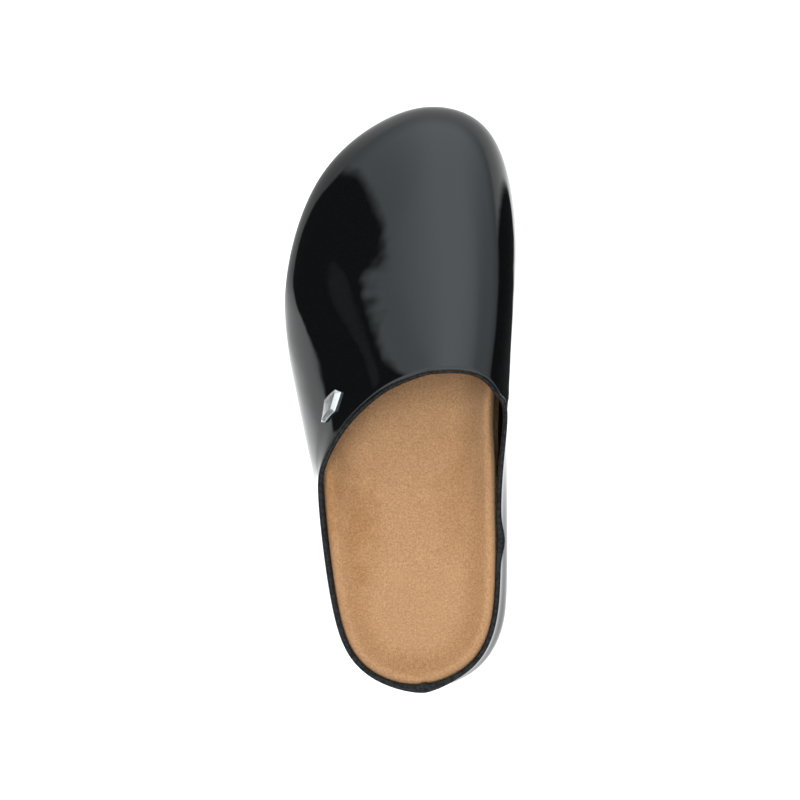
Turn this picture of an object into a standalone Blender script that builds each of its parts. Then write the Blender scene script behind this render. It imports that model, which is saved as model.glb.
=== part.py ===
"""Closed-toe slipper for the left foot: a mule with a high vamp and a low wall round the heel.

Tables are in per cent of the driving sizes, lengths in millimetres, meshes in metres.
+Y points to the toe, +X to the inner side of the foot, +Z up. The origin lies on the
floor under the middle of the slipper.
"""

from collections import namedtuple

import bmesh
import bpy
import numpy as np

# Driving sizes
LENGTH = 267.4
BALL_WIDTH = 106.5
HEEL_RIM = 42.0
INSTEP_RIM = 76.5
WALL = 2.0
GAP = 0.3

# Outsole: height of its top at heel and ball, lift of its toe, hollow under the waist
SOLE_HEEL = 12.0
SOLE_BALL = 7.0
TOE_SPRING = 5.0
ARCH = 2.5
SOLE_INSET = 2.0
SOLE_TAPER = 0.6
SOLE_CHAMFER = 1.5
HEEL_END, BALL_START, BALL_END = 0.31, 0.53, 0.76

# Upper: height of the widest line above the sole, tuck at the sole's edge, lasting margin
WIDEST = 12.0
TUCK = 4.0
MARGIN = 9.0
SPREAD = 6.0

# Insole: inset of its rim's crest, height of its middle over the sole at heel and toe
CREST_INSET = 5.5
MIDDLE_HEEL = 27.0
MIDDLE_TOE = 8.0
CORE_INSET = 30.0

# Collar binding: width and height on an upright wall and on flat leather, lip inside the
# wall, and the lap of its ends at the heel
BEAD_WIDE, BEAD_THIN = 3.2, 2.2
BEAD_TALL, BEAD_FLAT = 2.8, 0.8
BEAD_LIP = 0.25
LAP_TURN = 19.8
LAP_SPAN = 0.13
LAP_SWELL = 0.5
LAP_OUT = 0.5

# Stud on the outer side: place on the upper, turn against the spoke, sizes
STUD_TURN = 5.409
STUD_LEVEL = 0.757
STUD_ANGLE = -70.0
STUD_LONG = 17.4
STUD_WIDE = 9.0
STUD_CLIP = 3.0
STUD_EDGE = 1.0
STUD_TALL = 2.2
STUD_FACE_LONG = 14.4
STUD_FACE_WIDE = 4.2

# Facets
SPOKE_COUNT = 96
BEAD_SIDES = 8
SHARP = np.radians(40.0)

# Each row is a spoke from the widest line in to the rim. Along and across are in per cent
# of the length from the heel and of the ball width from the middle; lift is in per cent
# from the heel's rim to the instep's. Rise and reach are the curve's handles at the widest
# line and at the rim, dip the slope at the rim in degrees. Bed is the height of the insole's
# crest over the sole, drop the fall of its edge outside the crest, shy its stand-off there.
Spoke = namedtuple(
    "Spoke", "name along across rim_along rim_across lift rise reach dip bed drop shy"
)
SPOKES = [
    Spoke("heel", 0.0, 7.0, 0.75, 7.0, 3.1, 9, 9, 86, 31.0, 1.2, 0.0),
    Spoke("heel_quarter_outer", 4.3, -18.4, 4.9, -16.9, 2.2, 9, 9, 86, 30.9, 1.2, 0.0),
    Spoke("heel_side_outer", 16.2, -30.5, 16.3, -28.0, 0.0, 9, 9, 86, 30.5, 1.2, 0.2),
    Spoke("waist_outer", 32.6, -35.9, 32.4, -33.0, 6.2, 10, 10, 82, 31.3, 1.2, 0.8),
    Spoke("waist_fore_outer", 39.7, -39.2, 39.4, -30.9, 23.1, 12, 12, 70, 31.0, 1.4, 0.5),
    Spoke("instep_outer", 46.1, -42.8, 45.1, -22.3, 47.7, 15, 17, 52, 28.5, 2.0, 0.0),
    Spoke("ball_outer", 59.9, -49.2, 49.9, -9.8, 70.8, 16, 28, 38, 23.0, 3.0, 0.0),
    Spoke("little_toe", 73.7, -48.3, 52.45, 0.85, 84.6, 17, 42, 28, 18.0, 3.0, 0.0),
    Spoke("toe_outer", 88.3, -34.3, 54.0, 11.7, 93.8, 18, 55, 21, 15.0, 3.0, 0.0),
    Spoke("toe_front_outer", 97.5, -8.0, 54.4, 17.3, 98.5, 19, 62, 18, 13.5, 3.0, 0.0),
    Spoke("toe_tip", 99.9, 18.0, 54.55, 23.0, 100.0, 20, 64, 17, 13.0, 3.0, 0.0),
    Spoke("toe_inner", 95.05, 40.0, 54.4, 30.5, 96.9, 21, 58, 17, 13.5, 3.0, 0.0),
    Spoke("big_toe", 82.7, 48.9, 53.55, 37.4, 89.2, 24, 42, 20, 15.0, 3.0, 0.0),
    Spoke("ball_inner", 70.0, 49.9, 51.85, 42.5, 75.4, 26, 22, 35, 20.0, 3.5, 1.0),
    Spoke("instep_inner", 56.5, 48.2, 49.9, 45.3, 58.5, 20, 14, 75, 26.5, 5.0, 2.2),
    Spoke("waist_fore_inner", 45.3, 46.8, 46.2, 47.0, 40.0, 14, 12, 90, 29.3, 5.0, 3.2),
    Spoke("waist_inner", 33.0, 46.7, 34.5, 44.6, 12.3, 10, 10, 88, 31.0, 2.0, 0.8),
    Spoke("heel_side_inner", 17.7, 46.6, 19.1, 43.9, 0.0, 9, 9, 86, 31.0, 1.2, 0.0),
    Spoke("heel_back_inner", 9.2, 43.5, 9.8, 40.5, 0.9, 9, 9, 86, 30.9, 1.2, 0.0),
    Spoke("heel_quarter_inner", 2.9, 31.8, 3.75, 29.7, 2.2, 9, 9, 86, 30.9, 1.2, 0.0),
]

# Middle line of the foot, in per cent of the length and of the ball width
Middle = namedtuple("Middle", "along across")
SPINE = [
    Middle(16.0, 7.8),
    Middle(33.0, 4.8),
    Middle(46.0, 2.0),
    Middle(64.0, 0.2),
    Middle(84.0, 5.5),
]

# Rows of the upper's section, from the lasting margin's end over the widest line to the rim
SECTION_LEVELS = np.concatenate([[-2.0, -1.0, -0.65, -0.3], np.linspace(0.0, 1.0, 13)])

UP = np.array([0.0, 0.0, 1.0])
TURNS = np.arange(SPOKE_COUNT) * len(SPOKES) / SPOKE_COUNT

Finish = namedtuple("Finish", "slot colour roughness metallic")
RUBBER = Finish("sole_rubber", (0.012, 0.012, 0.013), 0.6, 0.0)
PATENT = Finish("patent_leather", (0.006, 0.006, 0.007), 0.08, 0.0)
SUEDE = Finish("suede", (0.50, 0.29, 0.14), 0.9, 0.0)
BINDING = Finish("binding_leather", (0.010, 0.010, 0.011), 0.45, 0.0)
STEEL = Finish("polished_steel", (0.72, 0.72, 0.72), 0.18, 1.0)


def eased(share):
    """A step from 0 to 1 with level ends."""
    share = np.clip(share, 0.0, 1.0)
    return share * share * (3.0 - 2.0 * share)


def share_of_length(y):
    """Place along the slipper, 0 at the heel and 1 at the toe."""
    return y / LENGTH + 0.5


def spring(y):
    """Lift of the toe."""
    return TOE_SPRING * np.clip((share_of_length(y) - BALL_END) / (1.0 - BALL_END), 0.0, None) ** 2


def sole_top(y):
    """Height of the outsole's top."""
    fall = eased((share_of_length(y) - HEEL_END + 0.03) / (BALL_START - HEEL_END + 0.1))
    return SOLE_HEEL + (SOLE_BALL - SOLE_HEEL) * fall + spring(y)


def sole_bottom(y):
    """Height of the outsole's tread face."""
    waist = np.clip((share_of_length(y) - HEEL_END) / (BALL_START - HEEL_END), 0.0, 1.0)
    return ARCH * np.sin(np.pi * waist) ** 2 + spring(y)


def column(field, turn):
    """A table column as a smooth closed curve, read at a count of rows round the slipper."""
    values = np.array([getattr(spoke, field) for spoke in SPOKES], float)
    count = len(values)
    one = np.eye(count)
    links = 4.0 * one + np.roll(one, 1, axis=0) + np.roll(one, -1, axis=0)
    bends = np.linalg.solve(
        links, 6.0 * (np.roll(values, -1) - 2.0 * values + np.roll(values, 1))
    )
    row = np.floor(turn).astype(int)
    part = turn - row
    rest = 1.0 - part
    first = row % count
    second = (row + 1) % count
    straight = values[first] * rest + values[second] * part
    return straight + ((rest**3 - rest) * bends[first] + (part**3 - part) * bends[second]) / 6.0


def plan(along, across):
    """Plan position of table shares, on the floor."""
    x = BALL_WIDTH * across / 100.0
    y = LENGTH * (along / 100.0 - 0.5)
    return np.stack([x, y, np.zeros_like(x)], axis=-1)


def unit(vectors):
    """Vectors of length one."""
    return vectors / np.linalg.norm(vectors, axis=-1, keepdims=True)


def to_spine(points):
    """Level directions from points to the middle line of the foot."""
    line = plan(
        np.array([middle.along for middle in SPINE]),
        np.array([middle.across for middle in SPINE]),
    )
    y = np.clip(points[..., 1], line[0, 1], line[-1, 1])
    x = np.interp(y, line[:, 1], line[:, 0])
    return unit(np.stack([x - points[..., 0], y - points[..., 1], np.zeros_like(x)], axis=-1))


def outline(turn, inset):
    """Plan outline of the widest line, moved in towards the middle."""
    edge = plan(column("along", turn), column("across", turn))
    return edge + np.asarray(inset)[..., None] * to_spine(edge)


def skin(turn, level):
    """Outer face of the upper.

    Level is -2 at the inner end of the lasting margin, -1 at the feather edge, 0 at the
    widest line and 1 at the rim.
    """
    turn, level = np.broadcast_arrays(np.asarray(turn, float), np.asarray(level, float))
    curl = np.clip(-level, 0.0, 1.0) * np.pi / 2.0
    inset = TUCK * (1.0 - np.cos(curl)) + MARGIN * np.clip(-1.0 - level, 0.0, None)
    low = outline(turn, inset)
    low = low + (sole_top(low[..., 1]) + GAP + (WIDEST - GAP) * (1.0 - np.sin(curl)))[..., None] * UP
    rim = plan(column("rim_along", turn), column("rim_across", turn))
    lift = HEEL_RIM + (INSTEP_RIM - HEEL_RIM) * column("lift", turn) / 100.0
    out = unit((low - rim) * (1.0, 1.0, 0.0) - SPREAD * to_spine(low))
    rim = rim + lift[..., None] * UP
    dip = np.radians(column("dip", turn))[..., None]
    first = low + column("rise", turn)[..., None] * UP
    second = rim + column("reach", turn)[..., None] * (np.cos(dip) * out - np.sin(dip) * UP)
    t = np.clip(level, 0.0, 1.0)[..., None]
    s = 1.0 - t
    return s**3 * low + 3.0 * s * s * t * first + 3.0 * s * t * t * second + t**3 * rim


def climb(turn, level):
    """Direction up the upper's section."""
    step = 1e-3
    return unit(skin(turn, np.minimum(level + step, 1.0)) - skin(turn, np.maximum(level - step, -2.0)))


def facing(turn, level):
    """Outward direction of the upper's outer face."""
    step = 1e-3
    return unit(np.cross(climb(turn, level), skin(turn + step, level) - skin(turn - step, level)))


def under_skin(turn, level, depth):
    """The upper's outer face moved in by a depth."""
    turn, level = np.broadcast_arrays(np.asarray(turn, float), np.asarray(level, float))
    return skin(turn, level) - depth * facing(turn, level)


def add_object(name, points, faces, finish):
    """A named mesh object in metres with its own material."""
    mesh = bpy.data.meshes.new(name)
    mesh.from_pydata((np.asarray(points) / 1000.0).tolist(), [], faces)
    shape = bmesh.new()
    shape.from_mesh(mesh)
    bmesh.ops.recalc_face_normals(shape, faces=shape.faces)
    shape.to_mesh(mesh)
    shape.free()
    mesh.shade_smooth()
    mesh.set_sharp_from_angle(angle=SHARP)
    material = bpy.data.materials.new(finish.slot)
    material.use_nodes = True
    shader = material.node_tree.nodes["Principled BSDF"]
    shader.inputs["Base Color"].default_value = (*finish.colour, 1.0)
    shader.inputs["Roughness"].default_value = finish.roughness
    shader.inputs["Metallic"].default_value = finish.metallic
    mesh.materials.append(material)
    bpy.context.scene.collection.objects.link(bpy.data.objects.new(name, mesh))


def bands(rings, closed):
    """Faces between rings of equal count; closed joins the last ring to the first."""
    count = len(rings[0])
    faces = []
    for ring in range(len(rings) if closed else len(rings) - 1):
        here = ring * count
        there = (ring + 1) % len(rings) * count
        for i in range(count):
            j = (i + 1) % count
            faces.append((here + i, here + j, there + j, there + i))
    return faces


def caps(ring, start):
    """Faces across a ring, sewn from its heel end to its toe end."""
    count = len(ring)
    half = count // 2
    outer = [i for i in range(half + 1)]
    inner = [-i % count for i in range(half + 1)]
    faces = []
    a = b = 0
    while a < half or b < half:
        if b == half or (a < half and ring[outer[a + 1], 1] < ring[inner[b + 1], 1]):
            corners = (outer[a], outer[a + 1], inner[b])
            a += 1
        else:
            corners = (outer[a], inner[b + 1], inner[b])
            b += 1
        if len(set(corners)) == 3:
            faces.append(tuple(start + corner for corner in corners))
    return faces


def add_disc(name, rings, finish):
    """A solid from rings that run from the middle of its base out, up and back in."""
    last = (len(rings) - 1) * len(rings[0])
    faces = bands(rings, False) + caps(rings[0], 0) + caps(rings[-1], last)
    add_object(name, np.concatenate(rings), faces, finish)


def raised(points, height):
    """Points set to a height, which is a number or a function of the place along."""
    points = points.copy()
    points[:, 2] = height(points[:, 1]) if callable(height) else height
    return points


def build_outsole():
    """Low rubber sole with an arch, a toe spring and a chamfered tread edge."""
    rings = [
        raised(outline(TURNS, CORE_INSET), sole_bottom),
        raised(outline(TURNS, SOLE_INSET + SOLE_TAPER + SOLE_CHAMFER), sole_bottom),
        raised(outline(TURNS, SOLE_INSET + SOLE_TAPER), lambda y: sole_bottom(y) + SOLE_CHAMFER),
        raised(outline(TURNS, SOLE_INSET), sole_top),
        raised(outline(TURNS, CORE_INSET), sole_top),
    ]
    add_disc("outsole", rings, RUBBER)


def build_upper():
    """Hollow shell from the lasting margin under the insole up to the rim."""
    outer = [skin(TURNS, level) for level in SECTION_LEVELS]
    inner = [under_skin(TURNS, level, WALL) for level in SECTION_LEVELS[::-1]]
    rings = outer + inner
    add_object("upper", np.concatenate(rings), bands(rings, True), PATENT)


def wall_at(heights):
    """Points a gap inside the upper's inner face, at a height on each spoke."""
    levels = SECTION_LEVELS[SECTION_LEVELS >= -1.0]
    rows = np.stack([under_skin(TURNS, level, WALL + GAP) for level in levels], axis=1)
    return np.array(
        [[np.interp(z, row[:, 2], row[:, axis]) for axis in range(3)] for z, row in zip(heights, rows)]
    )


def bed_middle(y):
    """Height of the footbed along its middle."""
    fall = eased((share_of_length(y) - 0.2) / 0.5)
    return sole_top(y) + MIDDLE_HEEL + (MIDDLE_TOE - MIDDLE_HEEL) * fall


def build_insole():
    """Footbed with a raised rim that follows the inside of the upper."""
    base = sole_top(outline(TURNS, 0.0)[:, 1])
    foot = base + WALL + 2.0 * GAP
    crest = base + column("bed", TURNS)
    drop = column("drop", TURNS)
    shy = np.maximum(column("shy", TURNS), 0.0)
    step = TUCK + MARGIN + 2.0 * GAP
    rings = [
        raised(outline(TURNS, CORE_INSET), lambda y: sole_top(y) + GAP),
        raised(outline(TURNS, step), lambda y: sole_top(y) + GAP),
        raised(outline(TURNS, step), lambda y: sole_top(y) + WALL + 2.0 * GAP),
        under_skin(TURNS, -1.0, WALL + GAP),
    ]
    for share, stand in ((0.2, 0.0), (0.4, 0.0), (0.6, 0.3), (0.8, 0.7), (1.0, 1.0)):
        ring = wall_at(foot + share * (crest - drop - foot))
        rings.append(ring + (stand * shy)[:, None] * to_spine(ring))
    edge = rings[-1]
    inward = to_spine(edge)
    for inset, fall in ((0.3, 0.25), (1.0, 0.0)):
        rings.append(raised(edge + inset * CREST_INSET * inward, crest - fall * drop))
    for inset, fall in ((12.0, 0.6), (19.0, 0.9), (CORE_INSET - TUCK, 1.0)):
        ring = edge + inset * inward
        rings.append(raised(ring, crest + fall * (bed_middle(ring[:, 1]) - crest)))
    add_disc("insole", rings, SUEDE)


def build_binding():
    """Bead along the rim, swollen where its ends lap at the heel."""
    rim = skin(TURNS, 1.0)
    out = facing(TURNS, 1.0)
    up = climb(TURNS, 1.0)
    upright = np.sin(np.radians(column("dip", TURNS)))[:, None]
    tall = BEAD_FLAT + (BEAD_TALL - BEAD_FLAT) * upright
    wide = BEAD_THIN + (BEAD_WIDE - BEAD_THIN) * upright**2
    middle = rim + (wide / 2.0 - WALL - BEAD_LIP) * out + (GAP + tall / 2.0) * up
    away = (TURNS - LAP_TURN + len(SPOKES) / 2.0) % len(SPOKES) - len(SPOKES) / 2.0
    lap = np.exp(-((away / LAP_SPAN) ** 2))[:, None]
    middle = middle + LAP_OUT * lap * out
    rings = []
    for side in range(BEAD_SIDES):
        angle = 2.0 * np.pi * (side + 0.5) / BEAD_SIDES
        side_out = wide / 2.0 * (1.0 + LAP_SWELL * lap) * np.cos(angle)
        rings.append(middle + side_out * out + tall / 2.0 * np.sin(angle) * up)
    add_object("collar_binding", np.concatenate(rings), bands(rings, True), BINDING)


def stud_point(long, wide, height):
    """Point over the upper at a place on the stud's own long and wide axes."""
    step = 1e-3
    across = (skin(STUD_TURN + step, STUD_LEVEL) - skin(STUD_TURN - step, STUD_LEVEL)) / (2.0 * step)
    upward = (skin(STUD_TURN, STUD_LEVEL + step) - skin(STUD_TURN, STUD_LEVEL - step)) / (2.0 * step)
    normal = facing(np.array(STUD_TURN), np.array(STUD_LEVEL))
    spoke = unit(upward)
    side = np.cross(spoke, normal)
    angle = np.radians(STUD_ANGLE)
    along = np.cos(angle) * spoke + np.sin(angle) * side
    cross = np.cos(angle) * side - np.sin(angle) * spoke
    move = long * along + wide * cross
    turn, level = np.linalg.lstsq(np.stack([across, upward], axis=1), move, rcond=None)[0]
    foot = skin(STUD_TURN + turn, STUD_LEVEL + level)
    return foot + height * facing(np.array(STUD_TURN + turn), np.array(STUD_LEVEL + level))


def build_stud():
    """Plain metal lozenge with clipped ends and bevelled edges, seated on the upper."""
    long, wide, clip = STUD_LONG / 2.0, STUD_WIDE / 2.0, STUD_CLIP / 2.0
    rim = ((long, -clip), (long, clip), (0.0, wide), (-long, clip), (-long, -clip), (0.0, -wide))
    face_long, face_wide = STUD_FACE_LONG / 2.0, STUD_FACE_WIDE / 2.0
    face = ((face_long, 0.0), (0.0, face_wide), (-face_long, 0.0), (0.0, -face_wide), (0.0, 0.0))
    points = [stud_point(a, b, GAP) for a, b in rim]
    points += [stud_point(a, b, GAP + STUD_EDGE) for a, b in rim]
    points += [stud_point(a, b, GAP + STUD_TALL) for a, b in face]
    points.append(stud_point(0.0, 0.0, GAP))
    count = len(rim)
    front, right, back, left, middle, base = range(2 * count, 2 * count + 6)
    faces = []
    for i in range(count):
        j = (i + 1) % count
        faces.append((i, j, count + j, count + i))
        faces.append((j, i, base))
    tips = ((0, front), (3, back))
    faces += [(count + i, count + i + 1, tip) for i, tip in tips]
    slopes = ((1, right, front), (2, back, right), (4, left, back), (5, front, left))
    faces += [(count + i, count + (i + 1) % count, high, low) for i, high, low in slopes]
    ring = (front, right, back, left)
    faces += [(a, b, middle) for a, b in zip(ring, ring[1:] + ring[:1])]
    add_object("stud", points, faces, STEEL)


def main():
    """Clear the scene and build the slipper's pieces."""
    for item in list(bpy.data.objects):
        bpy.data.objects.remove(item)
    build_outsole()
    build_upper()
    build_insole()
    build_binding()
    build_stud()


main()
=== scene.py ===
"""Looks of the closed-toe slipper: patent shell, lining, suede footbed, bound collar, sole, stud."""

import logging
from abc import ABC, abstractmethod
from dataclasses import dataclass
from enum import Enum
from math import radians
from typing import NamedTuple

import bmesh
import bpy
import numpy as np
from mathutils import Matrix, Vector


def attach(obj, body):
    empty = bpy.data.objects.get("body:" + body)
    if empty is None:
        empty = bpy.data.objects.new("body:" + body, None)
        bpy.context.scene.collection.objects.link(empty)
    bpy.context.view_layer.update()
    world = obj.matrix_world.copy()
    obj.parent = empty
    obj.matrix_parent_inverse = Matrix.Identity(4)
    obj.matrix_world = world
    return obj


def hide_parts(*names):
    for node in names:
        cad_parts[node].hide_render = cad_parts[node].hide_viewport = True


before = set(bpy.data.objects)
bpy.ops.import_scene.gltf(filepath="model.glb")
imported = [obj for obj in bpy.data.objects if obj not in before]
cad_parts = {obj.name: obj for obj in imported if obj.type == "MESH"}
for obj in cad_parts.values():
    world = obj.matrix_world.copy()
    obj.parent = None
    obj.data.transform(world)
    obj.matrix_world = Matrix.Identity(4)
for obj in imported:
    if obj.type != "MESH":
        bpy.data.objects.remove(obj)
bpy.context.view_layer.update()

MM = 0.001
NUDGE = 1e-3
FEATHER = -1.0
UP = np.array([0.0, 0.0, 1.0])
LEVEL = (1.0, 1.0, 0.0)
LOG = logging.getLogger("slipper")

Socket = bpy.types.NodeSocket
Colour = tuple[float, float, float, float]


class Slot(Enum):
    """Material slots of the record."""

    RUBBER = "sole_rubber"
    PATENT = "patent_leather"
    SUEDE = "suede"
    BINDING = "binding_leather"
    STEEL = "polished_steel"


class Node(Enum):
    """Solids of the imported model."""

    OUTSOLE = "outsole"
    UPPER = "upper"
    INSOLE = "insole"
    COLLAR = "collar_binding"
    STUD = "stud"


class Spoke(NamedTuple):
    """One spoke of the upper, from its widest line in to the rim.

    Along and across are in per cent of the length and of the ball width, lift in per cent
    from the heel's rim to the instep's, dip in degrees. Rise and reach are the section's
    handles in millimetres; bed, drop and shy are the footbed's crest over the sole, the fall
    of its edge outside the crest and its stand-off there.
    """

    name: str
    along: float
    across: float
    rim_along: float
    rim_across: float
    lift: float
    rise: float
    reach: float
    dip: float
    bed: float
    drop: float
    shy: float


class Middle(NamedTuple):
    """One point of the foot's middle line, in per cent of the length and of the ball width."""

    along: float
    across: float


SPOKES = (
    Spoke("heel", 0.0, 7.0, 0.75, 7.0, 3.1, 9, 9, 86, 31.0, 1.2, 0.0),
    Spoke("heel_quarter_outer", 4.3, -18.4, 4.9, -16.9, 2.2, 9, 9, 86, 30.9, 1.2, 0.0),
    Spoke("heel_side_outer", 16.2, -30.5, 16.3, -28.0, 0.0, 9, 9, 86, 30.5, 1.2, 0.2),
    Spoke("waist_outer", 32.6, -35.9, 32.4, -33.0, 6.2, 10, 10, 82, 31.3, 1.2, 0.8),
    Spoke("waist_fore_outer", 39.7, -39.2, 39.4, -30.9, 23.1, 12, 12, 70, 31.0, 1.4, 0.5),
    Spoke("instep_outer", 46.1, -42.8, 45.1, -22.3, 47.7, 15, 17, 52, 28.5, 2.0, 0.0),
    Spoke("ball_outer", 59.9, -49.2, 49.9, -9.8, 70.8, 16, 28, 38, 23.0, 3.0, 0.0),
    Spoke("little_toe", 73.7, -48.3, 52.45, 0.85, 84.6, 17, 42, 28, 18.0, 3.0, 0.0),
    Spoke("toe_outer", 88.3, -34.3, 54.0, 11.7, 93.8, 18, 55, 21, 15.0, 3.0, 0.0),
    Spoke("toe_front_outer", 97.5, -8.0, 54.4, 17.3, 98.5, 19, 62, 18, 13.5, 3.0, 0.0),
    Spoke("toe_tip", 99.9, 18.0, 54.55, 23.0, 100.0, 20, 64, 17, 13.0, 3.0, 0.0),
    Spoke("toe_inner", 95.05, 40.0, 54.4, 30.5, 96.9, 21, 58, 17, 13.5, 3.0, 0.0),
    Spoke("big_toe", 82.7, 49.4, 53.55, 37.4, 89.2, 24, 42, 20, 15.0, 3.0, 0.0),
    Spoke("ball_inner", 70.0, 50.35, 51.85, 42.5, 75.4, 26, 22, 35, 20.0, 3.5, 1.0),
    Spoke("instep_inner", 56.5, 48.2, 49.9, 45.3, 58.5, 20, 14, 75, 26.5, 5.0, 2.8),
    Spoke("waist_fore_inner", 45.3, 46.8, 46.2, 47.0, 40.0, 14, 12, 90, 29.3, 5.0, 4.2),
    Spoke("waist_inner", 33.0, 46.7, 34.5, 44.6, 12.3, 10, 10, 88, 31.0, 2.0, 1.3),
    Spoke("heel_side_inner", 17.7, 46.6, 19.1, 43.9, 0.0, 9, 9, 86, 31.0, 1.2, 0.0),
    Spoke("heel_back_inner", 9.2, 43.5, 9.8, 40.5, 0.9, 9, 9, 86, 30.9, 1.2, 0.0),
    Spoke("heel_quarter_inner", 2.9, 31.8, 3.75, 29.7, 2.2, 9, 9, 86, 30.9, 1.2, 0.0),
)

SPINE = (
    Middle(16.0, 7.8),
    Middle(33.0, 4.8),
    Middle(46.0, 2.0),
    Middle(64.0, 0.2),
    Middle(84.0, 5.5),
)


class Fold(NamedTuple):
    """A soft trough (negative height) or ridge of the leather between two plan points.

    Along and across are in per cent of the length and of the ball width, width and height
    in millimetres.
    """

    name: str
    along: float
    across: float
    end_along: float
    end_across: float
    width: float
    height: float


FOLDS: tuple[Fold, ...] = (
    Fold("vamp_throat_ridge", 62.3, -1.5, 56.5, 3.0, 5.0, 0.06),
    Fold("vamp_outer_dip", 68.6, -9.4, 67.2, -8.8, 4.5, -0.07),
)


def eased(share: np.ndarray) -> np.ndarray:
    """A step from 0 to 1 with level ends."""
    share = np.clip(share, 0.0, 1.0)
    return share * share * (3.0 - 2.0 * share)


def unit(vectors: np.ndarray) -> np.ndarray:
    """The same directions at length one."""
    return vectors / np.linalg.norm(vectors, axis=-1, keepdims=True)


@dataclass(frozen=True)
class Last:
    """The slipper's form in millimetres: sole heights, outlines and the upper's skin."""

    length: float = 267.4
    ball_width: float = 106.5
    heel_rim: float = 42.0
    instep_rim: float = 76.5
    wall: float = 2.0
    gap: float = 0.3
    sole_heel: float = 12.0
    sole_ball: float = 7.0
    toe_spring: float = 5.0
    arch: float = 2.5
    heel_end: float = 0.31
    ball_start: float = 0.53
    ball_end: float = 0.76
    widest: float = 12.0
    tuck: float = 4.0
    margin: float = 9.0
    spread: float = 6.0
    fall_lead: float = 0.03
    fall_run: float = 0.1

    def share(self, y: np.ndarray) -> np.ndarray:
        """Place along the slipper, 0 at the heel and 1 at the toe."""
        return y / self.length + 0.5

    def spring(self, y: np.ndarray) -> np.ndarray:
        """Lift of the toe, which the sole and all over it follow."""
        reach = (self.share(y) - self.ball_end) / (1.0 - self.ball_end)
        return self.toe_spring * np.clip(reach, 0.0, None) ** 2

    def sole_top(self, y: np.ndarray) -> np.ndarray:
        """Height of the outsole's top.

        Args:
            y: Place along the slipper.

        Returns:
            Height over the floor.
        """
        run = self.ball_start - self.heel_end + self.fall_run
        fall = eased((self.share(y) - self.heel_end + self.fall_lead) / run)
        return self.sole_heel + (self.sole_ball - self.sole_heel) * fall + self.spring(y)

    def sole_bottom(self, y: np.ndarray) -> np.ndarray:
        """Height of the tread face over the floor."""
        waist = (self.share(y) - self.heel_end) / (self.ball_start - self.heel_end)
        return self.arch * np.sin(np.pi * np.clip(waist, 0.0, 1.0)) ** 2 + self.spring(y)

    def column(self, name: str, turn: np.ndarray) -> np.ndarray:
        """A column of the spoke table as a smooth closed curve.

        Args:
            name: Column of the table.
            turn: Count of rows round the slipper.

        Returns:
            The column's value there.
        """
        values = np.array([getattr(spoke, name) for spoke in SPOKES], float)
        count = len(values)
        one = np.eye(count)
        links = 4.0 * one + np.roll(one, 1, axis=0) + np.roll(one, -1, axis=0)
        pulls = 6.0 * (np.roll(values, -1) - 2.0 * values + np.roll(values, 1))
        bends = np.linalg.solve(links, pulls)
        row = np.floor(turn).astype(int)
        part = turn - row
        rest = 1.0 - part
        first, second = row % count, (row + 1) % count
        bow = (rest**3 - rest) * bends[first] + (part**3 - part) * bends[second]
        return values[first] * rest + values[second] * part + bow / 6.0

    def plan(self, along: np.ndarray, across: np.ndarray) -> np.ndarray:
        """Plan position of table shares.

        Args:
            along: Per cent of the length.
            across: Per cent of the ball width.

        Returns:
            Points on the floor.
        """
        x = self.ball_width * np.asarray(across, float) / 100.0
        y = self.length * (np.asarray(along, float) / 100.0 - 0.5)
        return np.stack([x, y, np.zeros_like(x)], axis=-1)

    def spine_at(self, points: np.ndarray) -> np.ndarray:
        """The middle line's point beside each point.

        Args:
            points: Points of the slipper.

        Returns:
            Points on the floor.
        """
        line = self.plan([m.along for m in SPINE], [m.across for m in SPINE])
        y = np.clip(points[..., 1], line[0, 1], line[-1, 1])
        x = np.interp(y, line[:, 1], line[:, 0])
        return np.stack([x, y, np.zeros_like(x)], axis=-1)

    def inward(self, points: np.ndarray) -> np.ndarray:
        """Level unit vectors to the middle line."""
        return unit((self.spine_at(points) - points) * LEVEL)

    def outline(self, turn: np.ndarray, inset: np.ndarray | float) -> np.ndarray:
        """Plan of the widest line, moved in towards the middle by an inset."""
        edge = self.plan(self.column("along", turn), self.column("across", turn))
        return edge + np.asarray(inset, float)[..., None] * self.inward(edge)

    def skin(self, turn: np.ndarray | float, level: np.ndarray | float) -> np.ndarray:
        """The upper's outer face before any fold.

        Args:
            turn: Count of rows round the slipper.
            level: -2 at the lasting margin's end, -1 at the feather edge, 0 at the widest
                line and 1 at the rim.

        Returns:
            Points of the face.
        """
        turn, level = np.broadcast_arrays(np.asarray(turn, float), np.asarray(level, float))
        curl = np.clip(-level, 0.0, 1.0) * np.pi / 2.0
        inset = self.tuck * (1.0 - np.cos(curl)) + self.margin * np.clip(-1.0 - level, 0.0, None)
        low = self.outline(turn, inset)
        side = self.gap + (self.widest - self.gap) * (1.0 - np.sin(curl))
        low = low + (self.sole_top(low[..., 1]) + side)[..., None] * UP
        rim = self.plan(self.column("rim_along", turn), self.column("rim_across", turn))
        rise = self.instep_rim - self.heel_rim
        lift = self.heel_rim + rise * self.column("lift", turn) / 100.0
        out = unit((low - rim) * LEVEL - self.spread * self.inward(low))
        rim = rim + lift[..., None] * UP
        dip = np.radians(self.column("dip", turn))[..., None]
        first = low + self.column("rise", turn)[..., None] * UP
        slope = np.cos(dip) * out - np.sin(dip) * UP
        second = rim + self.column("reach", turn)[..., None] * slope
        t = np.clip(level, 0.0, 1.0)[..., None]
        s = 1.0 - t
        return s**3 * low + 3.0 * s * s * t * first + 3.0 * s * t * t * second + t**3 * rim

    def climb(self, turn: np.ndarray, level: np.ndarray) -> np.ndarray:
        """Unit vectors up the upper's section."""
        above = self.skin(turn, np.minimum(level + NUDGE, 1.0))
        return unit(above - self.skin(turn, np.maximum(level - NUDGE, -2.0)))

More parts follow.
